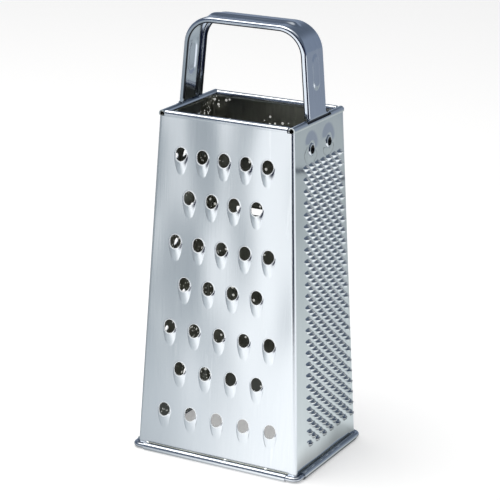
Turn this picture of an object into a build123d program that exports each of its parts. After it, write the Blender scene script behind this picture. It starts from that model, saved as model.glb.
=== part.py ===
from build123d import *
import os
from math import atan, cos, degrees, radians, sin, sqrt, tan

os.makedirs("parts", exist_ok=True)

# The body is a tapered box of thin sheet. These are its outside sizes at the foot, where the walls
# meet the rolled hem, and at the crease under the top bead.
foot_level = 4.0
crease_level = 178.0
foot_width = 92.6
foot_depth = 69.4
crease_width = 75.4
crease_depth = 56.0
sheet = 0.5
corner_radius = 1.8

# Foot: each wall is curled outward round a wire, and the curl stops short of the corners
wire_radius = 1.3
wire_clearance = 0.05
hem_turn = 305.0
hem_corner_gap = 5.0
foot_flat = 0.08

# Top: each wall is curled inward into a bead that stands slightly proud of the wall
bead_radius = 1.8
bead_bulge = 0.35
bead_turn = 285.0
bead_corner_gap = 4.6
side_bead_corner_gap = 2.2

# Front wall: shredding scoops in rows of five and four that fan out with the taper
coarse_hole_radius = 3.5
coarse_lip = 1.8
coarse_tail = 10.5
coarse_rows = 7
coarse_row_length = 5
coarse_first_level = 159.7
coarse_row_pitch = 22.62
coarse_even_row_rise = 0.9
coarse_top_pitch = 12.2
coarse_bottom_pitch = 15.4

# On both kinds of scoop the cutting lip starts just above the hole's middle and crests under the hole
lip_start_share = 0.25

# Left wall: smaller scoops of the same form
medium_hole_radius = 2.1
medium_lip = 1.2
medium_tail = 6.4
medium_rows = 9
medium_row_length = 5
medium_first_level = 152.0
medium_row_pitch = 15.6
medium_top_pitch = 9.0
medium_bottom_pitch = 11.6

# Right wall: pierced burrs on a staggered lattice that sits nearer the rear edge
burr_size = 2.2
burr_hole = 1.0
burr_height = 1.0
burr_first_level = 158.0
burr_pitch = 5.95
burr_rows = 49
burr_columns = 13
burr_top_span = 37.8
burr_bottom_span = 48.1
burr_top_shift = 3.5
burr_bottom_shift = 6.0

# Back wall: raised slicing blades
blade_count = 4
blade_first_level = 148.0
blade_pitch = 34.0
blade_length = 50.0
blade_cheek = 3.0
blade_lip = 2.2
blade_ramp = 13.0
blade_opening = 4.5
blade_corner = 1.0

# Handle: a flanged strap bent into an arch. Its wider flat ends are riveted inside the narrow walls.
handle_top_level = 226.1
handle_width = 19.5
handle_gauge = 0.8
handle_flange = 3.2
handle_bend_radius = 15.5
handle_edge_radius = 1.1
handle_lean = 5.0
handle_neck_level = 181.4
handle_neck_radius = 6.0
handle_tab_width = 25.0
handle_tab_corner = 3.0
handle_shoulder_level = 180.6
handle_end_level = 159.0
handle_slot_clearance = 0.5
handle_side_clearance = 0.3
rib_width = 7.5
rib_height = 1.0
top_rib_length = 52.0
leg_rib_top_level = 212.0
leg_rib_bottom_level = 194.0

# Tubular rivets, two through each narrow wall
rivet_level = 166.5
rivet_spacing = 19.0
rivet_radius = 2.1
rivet_bore = 1.6
rivet_bore_depth = 1.6
rivet_mouth_radius = 2.2
rivet_ring_radius = 3.2
rivet_ring_height = 0.8
rivet_ring_bevel = 0.4
rivet_head_radius = 2.7
rivet_head_height = 0.6
rivet_fit = 0.05

# How far cuts run past what they cut
overrun = 5.0

# Taper of the walls, and the outside half sizes of the body at any level
rise = crease_level - foot_level
width_lean = atan((foot_width - crease_width) / 2 / rise)
depth_lean = atan((foot_depth - crease_depth) / 2 / rise)


def half_width(level):
    return (foot_width + (crease_width - foot_width) * (level - foot_level) / rise) / 2


def half_depth(level):
    return (foot_depth + (crease_depth - foot_depth) * (level - foot_level) / rise) / 2


# One plane per wall: X along the wall, Y up its slope, Z outward
front = Plane((0, -half_depth(0), 0), x_dir=(1, 0, 0), z_dir=(0, -cos(depth_lean), sin(depth_lean)))
back = Plane((0, half_depth(0), 0), x_dir=(-1, 0, 0), z_dir=(0, cos(depth_lean), sin(depth_lean)))
right = Plane((half_width(0), 0, 0), x_dir=(0, 1, 0), z_dir=(cos(width_lean), 0, sin(width_lean)))
left = Plane((-half_width(0), 0, 0), x_dir=(0, -1, 0), z_dir=(-cos(width_lean), 0, sin(width_lean)))

# The hem and the bead are curls of sheet, drawn across each wall as outward distance and height
hem_radius = wire_radius + wire_clearance + sheet
hem_level = hem_radius - foot_flat
hem_middle_radius = hem_radius - sheet / 2
hem_offset = hem_middle_radius - sheet / 2
bead_middle_radius = bead_radius - sheet / 2
bead_offset = bead_bulge - bead_radius
bead_reach = -sheet / 2 - bead_offset
bead_drop = sqrt(bead_middle_radius**2 - bead_reach**2)
bead_start = -degrees(atan(bead_drop / bead_reach))


def tapered_block(inset):
    # A solid block with the body's taper, set in by a wall distance, with rounded upright edges
    width_inset = inset / cos(width_lean)
    depth_inset = inset / cos(depth_lean)
    low_level = hem_level - sheet / 2
    low_width = half_width(low_level) - width_inset
    high_width = half_width(crease_level) - width_inset
    low_depth = half_depth(low_level) - depth_inset
    high_depth = half_depth(crease_level) - depth_inset
    with BuildPart() as block:
        with BuildSketch(Plane.XZ):
            with BuildLine():
                Polyline(
                    (-low_width, low_level),
                    (low_width, low_level),
                    (high_width, crease_level),
                    (-high_width, crease_level),
                    close=True,
                )
            make_face()
        extrude(amount=foot_depth, both=True)
        with BuildSketch(Plane.YZ):
            with BuildLine():
                Polyline(
                    (-low_depth, low_level),
                    (low_depth, low_level),
                    (high_depth, crease_level),
                    (-high_depth, crease_level),
                    close=True,
                )
            make_face()
        extrude(amount=foot_width, both=True, mode=Mode.INTERSECT)
        uprights = block.edges().filter_by(lambda edge: edge.bounding_box().size.Z > rise / 2)
        fillet(uprights, corner_radius - inset)
    return block.part


def across(wall):
    # The plane that cuts across a wall: X outward, Y up the slope
    return Plane(wall.origin, x_dir=wall.z_dir, z_dir=-wall.x_dir)


def curls(wall, lean, foot_half, top_half):
    # The hem and the bead of one wall, as two straight curls
    hem_height = (hem_level - hem_offset * sin(lean)) / cos(lean)
    bead_height = crease_level / cos(lean) + bead_drop
    with BuildPart() as edges:
        with BuildSketch(across(wall)):
            with BuildLine():
                CenterArc((hem_offset, hem_height), hem_middle_radius, 180, hem_turn)
            trace(line_width=sheet)
        extrude(amount=foot_half, both=True)
        with BuildSketch(Plane.XY):
            Rectangle(2 * foot_width, 2 * foot_width)
        extrude(amount=-overrun, mode=Mode.SUBTRACT)
        with BuildSketch(across(wall)):
            with BuildLine():
                CenterArc((bead_offset, bead_height), bead_middle_radius, bead_start, bead_turn)
            trace(line_width=sheet)
        extrude(amount=top_half, both=True)
    return edges.part


def scoop_pair(hole_radius, lip, tail):
    # The raised scoop and the hollow under it: two round troughs with one axis, which sinks into the wall
    # toward the tail. The ridge stands a lip high at the hole's lower edge.
    ridge_height = lip * tail / (tail - hole_radius)
    slope = atan(ridge_height / tail)
    drop = ridge_height * cos(slope)
    half_mouth = hole_radius + sheet / 2
    radius = (half_mouth**2 + drop**2) / (2 * drop)
    middle = (0, radius * sin(slope), ridge_height - radius * cos(slope))
    trough = Plane(middle, x_dir=(1, 0, 0), z_dir=(0, -cos(slope), -sin(slope)))
    with BuildPart() as raised:
        with BuildSketch(Plane.YZ):
            with BuildLine():
                Polyline(
                    (hole_radius * lip_start_share, -sheet / 2),
                    (hole_radius * lip_start_share, 0),
                    (-hole_radius, ridge_height),
                    (-tail, ridge_height),
                    (-tail, -sheet / 2),
                    close=True,
                )
            make_face()
        extrude(amount=radius, both=True)
        with BuildSketch(trough):
            Circle(radius)
        extrude(amount=2 * tail, both=True, mode=Mode.INTERSECT)
    with BuildPart() as hollow:
        with BuildSketch(Plane.YZ):
            with BuildLine():
                Polyline(
                    (0, -2 * sheet),
                    (0, ridge_height),
                    (-tail, ridge_height),
                    (-tail, -2 * sheet),
                    close=True,
                )
            make_face()
        extrude(amount=radius, both=True)
        with BuildSketch(trough):
            Circle(radius - sheet)
        extrude(amount=2 * tail, both=True, mode=Mode.INTERSECT)
    return raised.part, hollow.part


def blade_wedge(length, shift):
    # A ramp that rises up the wall to a straight edge over the slot, with sloping cheeks
    with BuildPart() as wedge:
        with BuildSketch(Plane.XZ) as mouth:
            with BuildLine():
                Polyline(
                    (-length / 2 - blade_cheek, shift - sheet / 2),
                    (length / 2 + blade_cheek, shift - sheet / 2),
                    (length / 2, shift + blade_lip),
                    (-length / 2, shift + blade_lip),
                    close=True,
                )
            make_face()
        with BuildSketch(Plane.XZ.offset(blade_ramp)) as toe:
            with Locations((0, shift - sheet / 4)):
                Rectangle(length, sheet / 2)
        loft([mouth.sketch.face(), toe.sketch.face()], ruled=True)
    return wedge.part


def fan(rows, row_length, first_level, pitch, even_rise, top_pitch, bottom_pitch, lean):
    # Places of the holes: rows of n and n - 1 whose spacing widens from top to bottom
    places = []
    for row in range(rows):
        share = row / (rows - 1)
        shorter = row % 2
        spacing = top_pitch + (bottom_pitch - top_pitch) * share
        height = (first_level - pitch * row + even_rise * shorter) / cos(lean)
        count = row_length - shorter
        for column in range(count):
            places.append(((column - (count - 1) / 2) * spacing, height))
    return places


# The sheet of the box, split at the ends of its corner bends into four walls
outer_block = tapered_block(0)
inner_block = tapered_block(sheet)
with BuildPart() as box:
    add(outer_block)
    add(inner_block, mode=Mode.SUBTRACT)
front_seam = front.offset(-corner_radius)
back_seam = back.offset(-corner_radius)

# Front wall with its two corner bends
coarse_places = fan(
    coarse_rows,
    coarse_row_length,
    coarse_first_level,
    coarse_row_pitch,
    coarse_even_row_rise,
    coarse_top_pitch,
    coarse_bottom_pitch,
    depth_lean,
)
coarse_raised, coarse_hollow = scoop_pair(coarse_hole_radius, coarse_lip, coarse_tail)
wide_foot_half = half_width(0) - hem_corner_gap
wide_top_half = half_width(crease_level) - bead_corner_gap
front_curls = curls(front, depth_lean, wide_foot_half, wide_top_half)
with BuildPart() as coarse_wall:
    add(box.part)
    split(bisect_by=front_seam, keep=Keep.TOP)
    add(front_curls)
    with Locations(*[front.location * Location((x, y, 0)) for x, y in coarse_places]):
        add(coarse_raised)
        add(coarse_hollow, mode=Mode.SUBTRACT)
    with BuildSketch(front.offset(-overrun)):
        with Locations(*coarse_places):
            Circle(coarse_hole_radius)
    extrude(amount=2 * overrun, mode=Mode.SUBTRACT)
coarse_wall.part.label = "coarse_wall"
export_step(coarse_wall.part, "parts/coarse_wall.step")

# Back wall with its two corner bends and the raised slicing blades
blade_levels = [blade_first_level - blade_pitch * number for number in range(blade_count)]
blade_raised = blade_wedge(blade_length, 0)
blade_hollow = blade_wedge(blade_length - 2 * sheet, -sheet)
back_curls = curls(back, depth_lean, wide_foot_half, wide_top_half)
with BuildPart() as slicing_wall:
    add(box.part)
    split(bisect_by=back_seam, keep=Keep.TOP)
    add(back_curls)
    with Locations(*[back.location * Location((0, level / cos(depth_lean), 0)) for level in blade_levels]):
        add(blade_raised)
        add(blade_hollow, mode=Mode.SUBTRACT)
    with BuildSketch(back.offset(-overrun)):
        for level in blade_levels:
            with Locations((0, level / cos(depth_lean) + blade_opening / 2)):
                RectangleRounded(blade_length - 2 * sheet, blade_opening, blade_corner)
    extrude(amount=2 * overrun, mode=Mode.SUBTRACT)
slicing_wall.part.label = "slicing_wall"
export_step(slicing_wall.part, "parts/slicing_wall.step")

# Narrow walls: flat between the seams, with rivet holes and a slot along the bead's top for the handle
narrow_foot_half = half_depth(0) - hem_corner_gap
narrow_top_half = half_depth(crease_level) - side_bead_corner_gap
slot_half = handle_tab_width / 2 + handle_slot_clearance
slot_inset = sheet - handle_side_clearance
slot_depth = handle_gauge + 2 * handle_side_clearance
rivet_height = rivet_level / cos(width_lean)
rivet_places = [(-rivet_spacing / 2, rivet_height), (rivet_spacing / 2, rivet_height)]


def narrow_sheet(wall):
    # One narrow wall before its teeth are cut
    wall_curls = curls(wall, width_lean, narrow_foot_half, narrow_top_half)
    with BuildPart() as blank:
        add(box.part)
        split(bisect_by=front_seam, keep=Keep.BOTTOM)
        split(bisect_by=back_seam, keep=Keep.BOTTOM)
        split(bisect_by=wall.offset(-corner_radius), keep=Keep.TOP)
        add(wall_curls)
        with BuildSketch(wall.offset(-slot_inset)):
            with Locations((0, crease_level / cos(width_lean) + bead_drop)):
                Rectangle(2 * slot_half, overrun, align=(Align.CENTER, Align.MIN))
        extrude(amount=-slot_depth, mode=Mode.SUBTRACT)
        with BuildSketch(wall.offset(-overrun)):
            with Locations(*rivet_places):
                Circle(rivet_radius + rivet_fit)
        extrude(amount=2 * overrun, mode=Mode.SUBTRACT)
    return blank.part


# Left wall
medium_places = fan(
    medium_rows,
    medium_row_length,
    medium_first_level,
    medium_row_pitch,
    0,
    medium_top_pitch,
    medium_bottom_pitch,
    width_lean,
)
medium_raised, medium_hollow = scoop_pair(medium_hole_radius, medium_lip, medium_tail)
medium_blank = narrow_sheet(left)
with BuildPart() as medium_wall:
    add(medium_blank)
    with Locations(*[left.location * Location((x, y, 0)) for x, y in medium_places]):
        add(medium_raised)
        add(medium_hollow, mode=Mode.SUBTRACT)
    with BuildSketch(left.offset(-overrun)):
        with Locations(*medium_places):
            Circle(medium_hole_radius)
    extrude(amount=2 * overrun, mode=Mode.SUBTRACT)
medium_wall.part.label = "medium_wall"
export_step(medium_wall.part, "parts/medium_wall.step")

# Right wall: each burr is a four-sided crater whose sharp rim is the edge of its hole
burr_places = []
for row in range(burr_rows):
    share = row / (burr_rows - 1)
    span = burr_top_span + (burr_bottom_span - burr_top_span) * share
    shift = burr_top_shift + (burr_bottom_shift - burr_top_shift) * share
    height = (burr_first_level - burr_pitch / 2 * row) / cos(width_lean)
    for column in range(row % 2, burr_columns, 2):
        burr_places.append((shift + span * (column / (burr_columns - 1) - 1 / 2), height))
burr_taper = degrees(atan((burr_size - burr_hole) / 2 / burr_height))
with BuildPart() as burr:
    with BuildSketch():
        Rectangle(burr_size, burr_size, rotation=45)
    extrude(amount=burr_height, taper=burr_taper)
fine_blank = narrow_sheet(right)
with BuildPart() as fine_wall:
    add(fine_blank)
    with Locations(*[right.location * Location((x, y, 0)) for x, y in burr_places]):
        add(burr.part)
    with BuildSketch(right.offset(-overrun)):
        with Locations(*burr_places):
            Rectangle(burr_hole, burr_hole, rotation=45)
    extrude(amount=2 * overrun, mode=Mode.SUBTRACT)
fine_wall.part.label = "fine_wall"
export_step(fine_wall.part, "parts/fine_wall.step")

# The wire runs round the foot inside the hems, concentric with the corner bends
wire_reach = half_width(hem_level) + hem_offset / cos(width_lean)
wire_depth = half_depth(hem_level) + hem_offset / cos(depth_lean)
wire_bend = corner_radius + hem_offset
with BuildPart() as base_wire:
    with BuildLine(Plane.XY.offset(hem_level)) as half_ring:
        Polyline((0, -wire_depth), (wire_reach, -wire_depth), (wire_reach, wire_depth), (0, wire_depth))
        fillet(half_ring.vertices().group_by(Axis.X)[-1], wire_bend)
    with BuildSketch(Plane((0, -wire_depth, hem_level), x_dir=(0, 1, 0), z_dir=(1, 0, 0))):
        Circle(wire_radius)
    sweep(path=half_ring.wire())
    mirror(about=Plane.YZ)
base_wire.part.label = "base_wire"
export_step(base_wire.part, "parts/base_wire.step")

# Handle. Its outside line is followed at a depth: 0 is the outside face of the strap. Above the neck the
# legs lean in, and below it the ends lie flat against the walls.
leg_angle = radians(handle_lean)
neck_half = half_width(handle_neck_level) - sheet / cos(width_lean)
neck_drop = (1 / cos(leg_angle) - 1 / cos(width_lean)) / (tan(leg_angle) - tan(width_lean))


def handle_line(depth):
    # Half of the arch as points, from the crown down the right side, set in by a depth
    wall_set_in = (sheet + depth) / cos(width_lean)
    crown = handle_top_level - depth
    neck_level = handle_neck_level - depth * neck_drop
    neck = half_width(neck_level) - wall_set_in
    end_level = handle_end_level - overrun
    return [
        (neck - (crown - neck_level) * tan(leg_angle), crown),
        (neck, neck_level),
        (half_width(end_level) - wall_set_in, end_level),
    ]


def strap(depth, thickness):
    # The face between two depths of the arch
    middle = depth + thickness / 2
    points = handle_line(middle)
    mirrored = [(-x, z) for x, z in reversed(points)]
    with BuildSketch(Plane.XZ) as face:
        with BuildLine() as line:
            Polyline(*mirrored, *points)
            levels = line.vertices().group_by(Axis.Y)
            fillet(levels[-1], handle_bend_radius - middle)
            fillet(levels[1], handle_neck_radius - middle)
        trace(line_width=thickness)
    return face.sketch


def crown_ridge(depth, thickness, length, width):
    # A ridge along the crown that runs over into both bends
    band = strap(depth, thickness)
    with BuildPart() as ridge:
        extrude(band, amount=width, both=True)
        with BuildSketch(Plane.XY.offset(handle_top_level - handle_bend_radius)):
            SlotOverall(length, width)
        extrude(amount=handle_bend_radius + rib_height, mode=Mode.INTERSECT)
    return ridge.part


leg_rib_length = leg_rib_top_level - leg_rib_bottom_level
leg_rib_level = (leg_rib_top_level + leg_rib_bottom_level) / 2
leg_rib_reach = neck_half - (leg_rib_level - handle_neck_level) * tan(leg_angle)
right_leg = Plane((leg_rib_reach, 0, leg_rib_level), x_dir=(0, 1, 0), z_dir=(cos(leg_angle), 0, sin(leg_angle)))


def leg_ridge(depth, thickness, length, width):
    # A ridge down the right leg, from a depth outward
    with BuildPart() as ridge:
        with BuildSketch(right_leg.offset(-depth - thickness)):
            SlotOverall(length, width, rotation=90)
        extrude(amount=thickness)
    return ridge.part


rib_root = handle_gauge / 2
rib_depth = rib_height + rib_root
hollow_depth = handle_gauge - rib_height
hollow_width = rib_width - 2 * handle_gauge
hollow_crown = top_rib_length - 2 * handle_gauge
hollow_leg = leg_rib_length - 2 * handle_gauge
crown_rib = crown_ridge(-rib_height, rib_depth, top_rib_length, rib_width)
crown_hollow = crown_ridge(hollow_depth, rib_depth, hollow_crown, hollow_width)
leg_rib = leg_ridge(-rib_height, rib_depth, leg_rib_length, rib_width)
leg_hollow = leg_ridge(hollow_depth, rib_depth, hollow_leg, hollow_width)
channel = strap(0, handle_flange)
channel_hollow = strap(handle_gauge, handle_flange)
web = strap(0, handle_gauge)
tab_length = handle_shoulder_level - handle_end_level
neck_top = handle_neck_level + handle_gauge
neck_length = neck_top - handle_shoulder_level
with BuildPart() as tabs:
    extrude(web, amount=handle_tab_width / 2, both=True)
    with BuildSketch(Plane.YZ.offset(-foot_width / 2)) as outline:
        with Locations((0, handle_end_level + tab_length / 2)):
            Rectangle(handle_tab_width, tab_length)
        fillet(outline.vertices().group_by(Axis.Y)[0], handle_tab_corner)
        with Locations((0, handle_shoulder_level + neck_length / 2)):
            Rectangle(handle_width, neck_length)
    extrude(amount=foot_width, mode=Mode.INTERSECT)
with BuildPart() as handle:
    extrude(channel, amount=handle_width / 2, both=True)
    crown_face = handle.faces().sort_by(Axis.Z)[-1]
    fillet(crown_face.edges().filter_by(Axis.X), handle_edge_radius)
    extrude(channel_hollow, amount=handle_width / 2 - handle_gauge, both=True, mode=Mode.SUBTRACT)
    split(bisect_by=Plane.XY.offset(neck_top), keep=Keep.TOP)
    add(tabs.part)
    add([crown_rib, leg_rib, leg_rib.mirror(Plane.YZ)])
    add([crown_hollow, leg_hollow, leg_hollow.mirror(Plane.YZ)], mode=Mode.SUBTRACT)
    for wall in (left, right):
        with BuildSketch(wall.offset(-overrun)):
            with Locations(*rivet_places):
                Circle(rivet_radius + rivet_fit)
        extrude(amount=2 * overrun, mode=Mode.SUBTRACT)
handle.part.label = "handle"
export_step(handle.part, "parts/handle.step")

# Rivets: a flared hollow end outside, a shank through wall and strap, and a flat head inside
grip = sheet + handle_gauge
with BuildPart() as rivet:
    with BuildSketch(Plane.XZ):
        with BuildLine():
            Polyline(
                (rivet_mouth_radius, rivet_ring_height),
                (rivet_bore, 0),
                (rivet_bore, rivet_ring_height - rivet_bore_depth),
                (0, rivet_ring_height - rivet_bore_depth),
                (0, -grip - rivet_head_height),
                (rivet_head_radius, -grip - rivet_head_height),
                (rivet_head_radius, -grip),
                (rivet_radius, -grip),
                (rivet_radius, 0),
                (rivet_ring_radius, 0),
                (rivet_ring_radius, rivet_ring_height - rivet_ring_bevel),
                (rivet_ring_radius - rivet_ring_bevel, rivet_ring_height),
                close=True,
            )
        make_face()
    revolve(axis=Axis.Z)

with BuildPart() as right_rivets:
    with Locations(*[right.location * Location((x, y, 0)) for x, y in rivet_places]):
        add(rivet.part)
right_rivets.part.label = "right_rivets"
export_step(right_rivets.part, "parts/right_rivets.step")

with BuildPart() as left_rivets:
    with Locations(*[left.location * Location((x, y, 0)) for x, y in rivet_places]):
        add(rivet.part)
left_rivets.part.label = "left_rivets"
export_step(left_rivets.part, "parts/left_rivets.step")
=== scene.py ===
import bpy
import math
from mathutils import Matrix, Vector


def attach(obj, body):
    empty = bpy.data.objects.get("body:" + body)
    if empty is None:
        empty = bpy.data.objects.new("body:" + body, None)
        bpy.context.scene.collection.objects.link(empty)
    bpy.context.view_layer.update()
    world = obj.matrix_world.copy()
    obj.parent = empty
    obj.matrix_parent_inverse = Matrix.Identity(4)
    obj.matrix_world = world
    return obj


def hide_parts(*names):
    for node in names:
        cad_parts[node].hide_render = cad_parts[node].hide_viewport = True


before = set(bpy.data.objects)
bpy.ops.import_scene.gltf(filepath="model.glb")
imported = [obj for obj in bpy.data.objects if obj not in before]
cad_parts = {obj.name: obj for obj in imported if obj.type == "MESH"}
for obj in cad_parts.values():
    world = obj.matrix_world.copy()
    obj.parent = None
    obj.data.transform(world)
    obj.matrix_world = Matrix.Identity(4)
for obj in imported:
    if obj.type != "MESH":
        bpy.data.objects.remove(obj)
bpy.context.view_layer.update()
mm = 0.001

# The tapered sheet body, as the frame has it, in millimetres and degrees
body = {
    "footLevel": 4.0,
    "creaseLevel": 178.0,
    "footWidth": 92.6,
    "footDepth": 69.4,
    "creaseWidth": 75.4,
    "creaseDepth": 56.0,
    "sheet": 0.5,
    "cornerRadius": 1.8,
    "cornerSteps": 8,
    "hemRadius": 1.85,
    "hemLevel": 1.77,
    "hemTurn": 305.0,
    "hemCornerGap": 5.0,
    "beadRadius": 1.8,
    "beadBulge": 0.35,
    "beadTurn": 285.0,
    "beadCornerGap": 3.4,
    "sideBeadCornerGap": 2.2,
    "sideBeadTip": 0.55,
    "slotHalf": 13.0,
    "slotFrom": 16.0,
    "slotTo": 99.0,
    "slotTouch": 0.1,
    "beadSteps": (5, 6, 11),        # before, along and after the slot
    "curlSteps": 22,
    "flatStrip": 0.3,
    "weld": 0.002,
    "innerMargin": 1.0,             # between the inside's painted shade and the curls
    "innerTilt": -0.2,
    "innerRoll": 0.6,               # share of the sheet that still counts as a bead's outside
    "sharpAngle": 34.0,
}
rise = body["creaseLevel"] - body["footLevel"]
widthLean = math.atan((body["footWidth"] - body["creaseWidth"]) / 2 / rise)
depthLean = math.atan((body["footDepth"] - body["creaseDepth"]) / 2 / rise)


def halfWidth(level):
    slope = (body["creaseWidth"] - body["footWidth"]) / rise
    return (body["footWidth"] + slope * (level - body["footLevel"])) / 2


def halfDepth(level):
    slope = (body["creaseDepth"] - body["footDepth"]) / rise
    return (body["footDepth"] + slope * (level - body["footLevel"])) / 2


# Each wall has its own frame: X along the wall, Y up its slope, Z outward
def wallFrame(origin, along, outward):
    out = Vector(outward).normalized()
    x = Vector(along)
    y = out.cross(x)
    place = Matrix((x, y, out)).transposed().to_4x4()
    place.translation = Vector(origin) * mm
    return place


walls = {
    "front": {
        "place": wallFrame((0, -halfDepth(0), 0), (1, 0, 0), (0, -math.cos(depthLean), math.sin(depthLean))),
        "lean": depthLean,
        "wide": True,
    },
    "back": {
        "place": wallFrame((0, halfDepth(0), 0), (-1, 0, 0), (0, math.cos(depthLean), math.sin(depthLean))),
        "lean": depthLean,
        "wide": True,
    },
    "right": {
        "place": wallFrame((halfWidth(0), 0, 0), (0, 1, 0), (math.cos(widthLean), 0, math.sin(widthLean))),
        "lean": widthLean,
        "wide": False,
    },
    "left": {
        "place": wallFrame((-halfWidth(0), 0, 0), (0, -1, 0), (-math.cos(widthLean), 0, math.sin(widthLean))),
        "lean": widthLean,
        "wide": False,
    },
}


def makeObject(name, points, faces, edges=(), seam=(), rim=()):
    # A mesh object from points in millimetres. The points on a seam are marked, for the flat sheet to meet, and
    # those on a hole's rim, which gets a painted highlight.
    mesh = bpy.data.meshes.new(name)
    mesh.from_pydata([Vector(point) * mm for point in points], list(edges), [list(face) for face in faces])
    mark = mesh.attributes.new("onSeam", "BOOLEAN", "POINT")
    for index in seam:
        mark.data[index].value = True
    shine = mesh.attributes.new("rim", "FLOAT", "POINT")
    for index in rim:
        shine.data[index].value = 1
    mesh.update()
    made = bpy.data.objects.new(name, mesh)
    bpy.context.scene.collection.objects.link(made)
    return made


def ribbon(rows, faces, points, keep=None):
    # Quads between rows of points, which all have the same length
    start = len(points)
    width = len(rows[0])
    for row in rows:
        points.extend(row)
    for r in range(len(rows) - 1):
        for c in range(width - 1):
            if keep is None or keep(r, c):
                a = start + r * width + c
                faces.append((a, a + 1, a + width + 1, a + width))


# The edges of one wall: rolled foot, top bead and, on the wide walls, the corner bends
def hemHeight(wall):
    offset = body["hemRadius"] - body["sheet"]
    return (body["hemLevel"] - offset * math.sin(wall["lean"])) / math.cos(wall["lean"])


def beadShape(wall):
    # Centre of the bead, and the angle at which its outside leaves the wall
    middle = body["beadRadius"] - body["sheet"] / 2
    reach = body["beadRadius"] - body["beadBulge"] - body["sheet"] / 2
    height = body["creaseLevel"] / math.cos(wall["lean"]) + math.sqrt(middle**2 - reach**2)
    offset = body["beadBulge"] - body["beadRadius"]
    angle = math.acos(-offset / body["beadRadius"])
    return offset, height, angle


def steps(low, high, count):
    return [low + (high - low) * i / count for i in range(count + 1)]


def wallReach(wall, height):
    # Half the flat sheet's length at a height up the slope
    level = height * math.cos(wall["lean"])
    if wall["wide"]:
        return halfWidth(level) - body["cornerRadius"] / math.cos(widthLean)
    return halfDepth(level) - body["cornerRadius"] / math.cos(depthLean)


def curlEnds(wall):
    if wall["wide"]:
        return halfWidth(0) - body["hemCornerGap"], halfWidth(body["creaseLevel"]) - body["beadCornerGap"]
    return halfDepth(0) - body["hemCornerGap"], halfDepth(body["creaseLevel"]) - body["sideBeadCornerGap"]


# Rivet holes, and the swell of the sheet round each
rivet = {
    "level": 166.5,
    "spacing": 19.0,
    "hole": 2.15,
    "swell": 0.42,
    "wave": 0.25,
    "waves": 3,
    "innerRise": 4.0,
    "outerFall": 1.1,
    "swellAcross": 8.6,
    "swellAbove": 9.6,
    "swellBelow": 7.6,
    "sides": 36,
    "rings": 12,
    "margin": 1.03,
}


def swell(x, y):
    reach = math.hypot(x / rivet["swellAcross"], y / (rivet["swellAbove"] if y > 0 else rivet["swellBelow"]))
    start = rivet["hole"] / rivet["swellAcross"]
    share = min(max((reach - start) / (1 - start), 0), 1)
    wave = 1 + rivet["wave"] * math.cos(rivet["waves"] * math.atan2(y, x) + x / rivet["swellAcross"])
    rising, falling = smoothStep(share * rivet["innerRise"]), smoothStep((1 - share) * rivet["outerFall"])
    return rivet["swell"] * wave * rising * falling


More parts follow.
